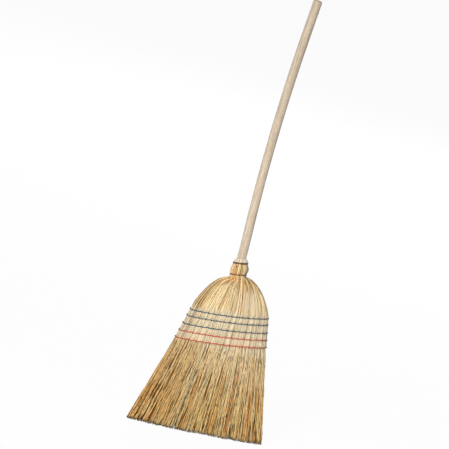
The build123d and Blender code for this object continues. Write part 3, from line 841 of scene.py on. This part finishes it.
# Their colours: each tuft's hue and a golden tint downwards, flecks, dark tufts in broken lengths,
# paler under the seam, warmer on the front's left side, painted shade inside, at the tips and down
# the stitch columns
HUE_FALL, HUE_KEPT = (0, 0.4), (0, 0.4)
FIBRE_LIGHT = 0.3
GOLDEN_FALL, GOLDEN_TINT = (0.2, 0.9), np.array([1.18, 1.12, 0.92])
FLECK_STEP, FLECKED_HEIGHT = 4.8, 270
FLECK_SHIFT, FLECK_EDGE = 2.6, (0.2, 0.8)
BRIGHTEST = 0.95
BREAK_LENGTH, BREAK_EDGE = 1.3, (-0.9, 0.5)
DARK_TINT = np.array([0.84, 1.0, 1.17])
PALE_RISE = (SPLIT - 8, SPLIT + 20)
LEFT_START, LEFT_STOP = (0.7, 0.77), (0.86, 0.94)
LEFT_RISE = (0, 190)
LEFT_TIP_TINT, LEFT_TOP_TINT = np.array([1.0, 0.93, 0.85]), np.array([0.9, 0.83, 0.7])
INSIDE_SHADE, INSIDE_DEPTH = 0.45, (1, 6)
FIBRE_COLUMN_SHADE, FIBRE_COLUMN_WIDTH = 0.45, 1.3
TIP_SHADE, TIP_SHADE_RISE = 0.12, (0.8, 9)

in_turn = (-1.0) ** np.arange(TUFTS)
tuft_at = (np.arange(TUFTS) + chance.uniform(-TUFT_JITTER, TUFT_JITTER, TUFTS)) / TUFTS
tuft_drift = chance.normal(0, 1.2, TUFTS)
tuft_proud = chance.normal(-0.9, 0.6, TUFTS) + 0.8 * in_turn
tuft_wave = chance.uniform(40, 110, (2, TUFTS))
tuft_phase = chance.random((2, TUFTS))
tuft_sway = chance.uniform(0.3, 1.1, (2, TUFTS))
rough_edge = hill(SKIRT_RIGHT, 0.012, tuft_at)
tuft_wave[1] *= 1 - 0.5 * rough_edge
tuft_sway[1] *= 1 + 2.0 * rough_edge
# Each tuft's tone is random, made lighter or darker in turn with its depth as painted shade
tuft_tone_and_shade = np.exp(chance.normal(0.8, 0.3, TUFTS) + 0.95 * in_turn)
tuft_tone_and_shade = tuft_tone_and_shade * (1 - 0.6 * hill(SKIRT_LEFT, 0.012, tuft_at))
# Tufts at the skirt's right edge are darkened: painted shade on the side turned away from the light
tuft_tone_and_shade = tuft_tone_and_shade * (1 - 0.7 * hill(SKIRT_RIGHT, 0.008, tuft_at))
one_in_four = (np.arange(TUFTS) + chance.integers(0, 2, TUFTS)) % 4 == 0
tuft_dark = one_in_four * chance.uniform(0.45, 0.84, TUFTS)
tuft_flecks = np.exp(chance.normal(0, 0.9, (TUFTS, int(FLECKED_HEIGHT / FLECK_STEP))))
tuft_hue = np.stack([GOLD, ORANGE, PALE, BROWN, SAGE])[
    chance.choice(5, TUFTS, p=(0.45, 0.24, 0.14, 0.06, 0.11))
]
scallop_rise = chance.uniform(0, 2.0, SCALLOPS)
scallop_turn = chance.uniform(-0.15, 0.15, SCALLOPS)


def own_swing(tuft, z, way):
    """The waver that all the fibres of a tuft share, sideways (0) or in and out (1)."""
    wave = tuft_wave[way][tuft][:, None]
    return tuft_sway[way][tuft][:, None] * swing(z, wave, tuft_phase[way][tuft][:, None])


def join_height(tuft):
    """Where the bristles of a tuft begin, a little over the lowest seam and under its straws."""
    share = tuft_at[tuft]
    x, _, _ = surface(share, np.full(len(share), LOW_SEAM_HEIGHT))
    return seam_height(LOW_SEAM, x) + JOIN_OVERLAP


def tip_height(share):
    """Heights of the trimmed tips, in shallow scallops."""
    place = (share * SCALLOPS + 0.9 * patches(share, seed=5, count=16)) % SCALLOPS
    number = place.astype(int) % SCALLOPS
    across = place % 1 - 0.5 + scallop_turn[number]
    rough = np.abs(chance.normal(0, TIP_ROUGHNESS, len(share)))
    return 0.2 + scallop_rise[number] + SCALLOP_DEPTH * across**2 + rough


def bristle_colours(share, tuft, z, tip):
    """Colours along fibres of given tufts, from their shares of the way round, heights and tips."""
    count = len(share)
    fall = 1 - np.clip(z / SPLIT, 0, 1)
    straw = straw_colours(share, np.full(count, PLAIN_WARMTH))
    own = lerp(tuft_hue[tuft], straw, chance.uniform(*HUE_KEPT, (count, 1)))
    light = tuft_tone_and_shade[tuft] * np.exp(chance.normal(0, FIBRE_LIGHT, count))
    shade = lerp(straw[:, None], own[:, None], smooth(*HUE_FALL, fall)[..., None])
    shade = shade * light[:, None, None]
    shade = shade * lerp(np.ones(3), GOLDEN_TINT, smooth(*GOLDEN_FALL, fall)[..., None])

    place = (z + chance.uniform(-FLECK_SHIFT, FLECK_SHIFT, count)[:, None]) / FLECK_STEP
    place = np.clip(place, 0, tuft_flecks.shape[1] - TABLE_END)
    low = place.astype(int)
    own_flecks = tuft_flecks[tuft]
    here, above = (np.take_along_axis(own_flecks, level, 1) for level in (low, low + 1))
    shade = shade * lerp(here, above, smooth(*FLECK_EDGE, place - low))[..., None]
    shade = shade * np.minimum(1, BRIGHTEST / shade.max(axis=-1, keepdims=True))

    broken = swing(z, BREAK_LENGTH * tuft_wave[0][tuft][:, None], tuft_phase[1][tuft][:, None])
    dark = (tuft_dark[tuft][:, None] * smooth(*BREAK_EDGE, broken))[..., None]
    shade = shade * (1 - dark * DARK_TINT)

    shade = lerp(shade, shade * 0.6 + GREY * 0.42, smooth(*PALE_RISE, z)[..., None])
    left = smooth(*LEFT_START, share) * (1 - smooth(*LEFT_STOP, share))
    warmer = lerp(LEFT_TIP_TINT, LEFT_TOP_TINT, smooth(*LEFT_RISE, z)[..., None])
    shade = shade * lerp(np.ones(3), warmer, left[:, None, None])
    # Fibres darken towards their tips: painted shade at the trimmed ends
    return shade * lerp(TIP_SHADE, 1, smooth(*TIP_SHADE_RISE, z - tip[:, None]))[..., None]


def bristle_layer(tuft, steps, top, spread, depth, thick, thin):
    """Fibres of given tufts from their tops to the tips, for each of the four outer bundles."""
    count = len(tuft)
    turn = chance.uniform(0, 2 * np.pi, (count, 1))
    reach = np.sqrt(chance.uniform(0.1, 1, (count, 1)))
    share = tuft_at[tuft] + spread * (reach * np.cos(turn))[:, 0] / girth[0]
    tip = tip_height(share % 1)
    run = np.linspace(0, 1, steps)
    z = top[:, None] + (tip - top)[:, None] * run
    fall = 1 - np.clip(z / SPLIT, 0, 1)

    # Fibres twist round their tuft, which drifts and wavers, and crinkle by themselves
    open_up = girth_at(z) / girth[0]
    way = chance.choice([-1, 1], (count, 1))
    turn = turn + 2 * np.pi * z / way / chance.uniform(*TWIST_LENGTH, (count, 1))
    across = spread * reach * np.cos(turn) * open_up
    inward = depth[:, None] + 0.7 * spread * reach * (1 + np.sin(turn))
    across = across + tuft_drift[tuft][:, None] * fall**DRIFT_POWER
    across = across + own_swing(tuft, z, 0) * fall
    inward = inward - tuft_proud[tuft][:, None] * smooth(*PROUD_FALL, fall)
    inward = inward - 0.6 * own_swing(tuft, z, 1) * fall
    for lengths, size in CRINKLES:
        wave = chance.uniform(*lengths, (count, 1))
        size = size * chance.uniform(*CRINKLE_SIZES, (count, 1)) * (0.25 + fall)
        across = across + size * swing(z, wave, chance.random((count, 1)))
        inward = inward + 0.5 * size * swing(z, wave, chance.random((count, 1)))
    inward = inward + JOIN_TUCK * smooth(*JOIN_RISE, z)

    x, y, outward = surface(tuft_at[tuft][:, None] + across / girth_at(z), z)
    shift, half_width, half_depth = sizes_at(z)
    draw = relief(x, y, z) * (depth[:, None] < DRAWN_DEPTH)
    px = shift + (x - shift) * (1 - inward / half_width) + outward[..., 0] * draw
    py = y * np.maximum(0, 1 - inward / half_depth) + outward[..., 1] * draw
    shade = bristle_colours(share % 1, tuft, z, tip)
    # Deeper fibres are darker: painted shade inside the bundle
    shade = shade * lerp(1, INSIDE_SHADE, smooth(*INSIDE_DEPTH, depth))[:, None, None]
    # Fibres are darker down the columns of stitches, where the twine draws them in: painted shade
    columns = stitch_columns(x, y, z, FIBRE_COLUMN_WIDTH)
    shade = shade * (1 - FIBRE_COLUMN_SHADE * columns)[..., None]
    radius = lerp(thick, thin, run**FIBRE_TAPER) * chance.uniform(*FIBRE_SIZES, (count, 1))
    foot_x, foot_y, _ = surface(share, np.full(count, SPLIT))
    kinds = field_of(foot_x, foot_y)
    paths = np.stack([px, py, z], -1)
    ways = level_ways(outward)
    return bundles(kinds, len(BRISTLE_NODES), paths, radius, FIBRE_SIDES, shade, ways)


def of_tufts(each):
    """The tuft number of each fibre, for a number of fibres in each tuft."""
    return np.repeat(np.arange(TUFTS), each)


skin, loose, inside = of_tufts(SKIN_FIBRES), of_tufts(LOOSE_FIBRES), of_tufts(INNER_FIBRES)
fibres = bristle_layer(
    skin, FIBRE_STEPS, join_height(skin),
    spread=1.08, depth=chance.uniform(0, 0.8, len(skin)), thick=0.56, thin=0.42,
)
strays = bristle_layer(
    loose, FIBRE_STEPS, join_height(loose),
    spread=3.4, depth=chance.uniform(0, 1.0, len(loose)), thick=0.5, thin=0.36,
)
inner = bristle_layer(
    inside, INNER_STEPS, np.full(len(inside), INNER_TOP),
    spread=3.0, depth=chance.uniform(4, 17, len(inside)), thick=0.8, thin=0.5,
)


def bend_with_bristles(piece, node):
    dress(piece, fibre_straw)
    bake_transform(piece)
    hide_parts(node)


for kind, node in enumerate(BRISTLE_NODES):
    layers = [fibres[kind], strays[kind]]
    bend_with_bristles(mesh_object(node + "_fibres", *joined(layers)), node)

# A block under the bristles, whose deep brown is painted shade of the bundle's inside
BLOCK_FOOT = 26
block_heights = np.arange(BLOCK_FOOT, SPLIT + 3, 8.5)
block_inset = np.interp(block_heights, [BLOCK_FOOT, 80, SPLIT], [14, 8, 4.2])
block = filling(block_heights, block_inset, SHADE_BROWN)
core_fibres = mesh_object("core_bristles_fibres", *joined([block, *inner]))
bend_with_bristles(core_fibres, "core_bristles")


# Sewing twine: two twisted plies round the head, dipping in at each stitch
def twine(number, colour):
    """Both plies of a seam's twine, from the right edge round the back, the left and the front."""
    run = np.linspace(0, 1, TWINE_STEPS)
    lane = TWINE_START + TWINE_WAY * run
    z = np.full(TWINE_STEPS, SPLIT + SEAM_MIDDLES[number])
    for _ in range(4):  # the seam's height depends on x, and x on the height
        x, y, outward = surface(lane, z)
        z = seam_height(number, x)
    phase = stitch_phase(x, z)
    face = smooth(*STITCH_FACE, np.abs(y) / SPLIT_DEPTH)
    bite = hill(0, BITE_REACH, phase * STITCH_PITCH) * face
    turn_back = 1 - hill(0, SLANT_TURN, (0.5 - np.abs(phase)) * STITCH_PITCH)
    slant = SLANT * np.sign(y) * phase * turn_back * face
    tuck = hill(0, TUCK_REACH, run) + hill(0, TUCK_REACH, 1 - run)
    ends = [0, ENDS_REACH, 1 - ENDS_REACH, 1]
    beside = np.interp(run, ends, [ENDS_APART, 0, 0, -ENDS_APART])
    offset = TWINE_OFFSET - BITE * bite - TUCK * tuck
    centre = set_off(x, y, z + slant + beside, outward, offset)
    length = distances(centre)
    along = unit(np.gradient(centre, axis=0))
    side = unit(np.cross(along, level_ways(outward)))
    out = np.cross(side, along)
    plies = []
    for lag in (0, np.pi):
        turn = (2 * np.pi * length / TWINE_LAY + lag)[:, None]
        plies.append(centre + PLY_OFFSET * (np.cos(turn) * out + np.sin(turn) * side))
    radius = np.full((2, TWINE_STEPS), PLY_RADIUS)
    # Twine is lighter between the stitches and darker where it dips in: painted highlight and
    # painted shade
    sunk = hill(0, STITCH_TONE_REACH, phase * STITCH_PITCH) * face
    tone = lerp(EDGE_TONE, lerp(*STITCH_LIGHT_AND_SHADE[colour], sunk), face)
    tones = np.array(PLY_TONES)[:, None, None] * tone[:, None] * np.ones(3)
    return tubes(np.stack(plies), radius, TWINE_SIDES, tones, np.stack([out, out]))


for number, node in enumerate(SEAM_NODES):
    colour = node.rsplit("_", 1)[1]
    piece = mesh_object(node + "_twine", *twine(number, colour))
    fix_to_head(piece, twines[colour], node)

# Neck wires, wound with the bindings' lean
for node, (radius, start, turns) in NECK_WIRES.items():
    run = np.linspace(0, turns, TURN_STEPS * turns + 1)
    angle = 2 * np.pi * run
    outward = np.stack([np.cos(angle), np.sin(angle), np.zeros(len(run))], -1)
    centre = radius * outward
    centre[:, 0] += neck_shift(start)
    centre[:, 2] = start + WIRE_PITCH * run + leaning(centre[:, 0], centre[:, 1], start)
    thickness = np.full((1, len(run)), WIRE_RADIUS)
    plain = np.ones((1, len(run), 3))
    points, faces, _ = tubes(centre[None], thickness, WIRE_SIDES, plain, outward[None])
    steel = rusty_steel if node == "lower_neck_wire" else wire_steel
    fix_to_head(mesh_object(node + "_turns", points, faces), steel, node)

# Solids of the frame that show as they are
bare_nodes = {"handle": beech, "inner_binding_wire": wire_steel, "neck_nail": nail_steel}
for node, material in bare_nodes.items():
    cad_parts[node].data.materials.clear()
    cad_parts[node].data.materials.append(material)


# Floor and surroundings, white to the camera and in reflections
FLOOR_SIZE = 160
FLOOR_GREY = 0.86
FLOOR_WHITENESS = 0.95
WORLD_LIGHT = 0.25


def white_rays(tree):
    """1 for rays that show the surroundings themselves, 0 for rays that carry their light."""
    rays = tree.nodes.new("ShaderNodeLightPath")
    shown = rays.outputs["Is Camera Ray"]
    for kind in ("Is Glossy Ray", "Is Transmission Ray"):
        either = tree.nodes.new("ShaderNodeMath")
        either.operation = "MAXIMUM"
        tree.links.new(shown, either.inputs[0])
        tree.links.new(rays.outputs[kind], either.inputs[1])
        shown = either.outputs["Value"]
    return shown


bpy.ops.mesh.primitive_plane_add(size=FLOOR_SIZE)
floor = bpy.context.object
floor.name = "floor"
pale, tree, shader = new_material("pale_floor", roughness=0.9)
shader.inputs["Base Color"].default_value = (FLOOR_GREY, FLOOR_GREY, FLOOR_GREY, 1)
shader.inputs["Specular IOR Level"].default_value = 0.0
glow = tree.nodes.new("ShaderNodeEmission")
both = tree.nodes.new("ShaderNodeMixShader")
tree.links.new(mapped(tree, white_rays(tree), 0, FLOOR_WHITENESS), both.inputs["Fac"])
tree.links.new(shader.outputs["BSDF"], both.inputs[1])
tree.links.new(glow.outputs["Emission"], both.inputs[2])
tree.links.new(both.outputs["Shader"], tree.nodes["Material Output"].inputs["Surface"])
floor.data.materials.append(pale)

world = bpy.data.worlds.new("studio")
bpy.context.scene.world = world
world.use_nodes = True
tree = world.node_tree
sky = tree.nodes["Background"]
sky.inputs["Color"].default_value = (1, 1, 1, 1)
tree.links.new(mapped(tree, white_rays(tree), WORLD_LIGHT, 1), sky.inputs["Strength"])

# Lamps: place, size and power of each, in metres and watts
LAMP_AIM = Vector((0, 0, 0.5))
LAMPS = {
    "key": ((-2.7, -3.45, 2.6), 0.9, 204),
    "fill": ((2.0, -4.4, 1.6), 3.0, 22),
    "back": ((1.9, 4.7, 2.4), 2.0, 150),
}
for name, (place, size, power) in LAMPS.items():
    data = bpy.data.lights.new(name, "AREA")
    data.size = size
    data.energy = power
    lamp = bpy.data.objects.new(name, data)
    lamp.location = place
    lamp.rotation_euler = (LAMP_AIM - Vector(place)).to_track_quat("-Z", "Y").to_euler()
    bpy.context.scene.collection.objects.link(lamp)

# Camera
AZIMUTH = math.radians(-17)
ELEVATION = math.radians(11)
ROLL = math.radians(15.341)
DISTANCE = 14.0
AIM = Vector((-0.0700, 0, 0.5655))
FOCAL_LENGTH = 426.55
SENSOR_WIDTH = 36
FARTHEST = 200
back = Vector((
    math.sin(AZIMUTH) * math.cos(ELEVATION),
    -math.cos(AZIMUTH) * math.cos(ELEVATION),
    math.sin(ELEVATION),
))
lens = bpy.data.cameras.new("camera")
lens.sensor_width = SENSOR_WIDTH
lens.lens = FOCAL_LENGTH
lens.clip_end = FARTHEST
camera = bpy.data.objects.new("camera", lens)
camera.location = AIM + back * DISTANCE
facing = (-back).to_track_quat("-Z", "Y").to_matrix()
camera.rotation_euler = (facing @ Matrix.Rotation(ROLL, 3, "Z")).to_euler()
bpy.context.scene.collection.objects.link(camera)
bpy.context.scene.camera = camera
bpy.context.scene.view_settings.view_transform = "Standard"
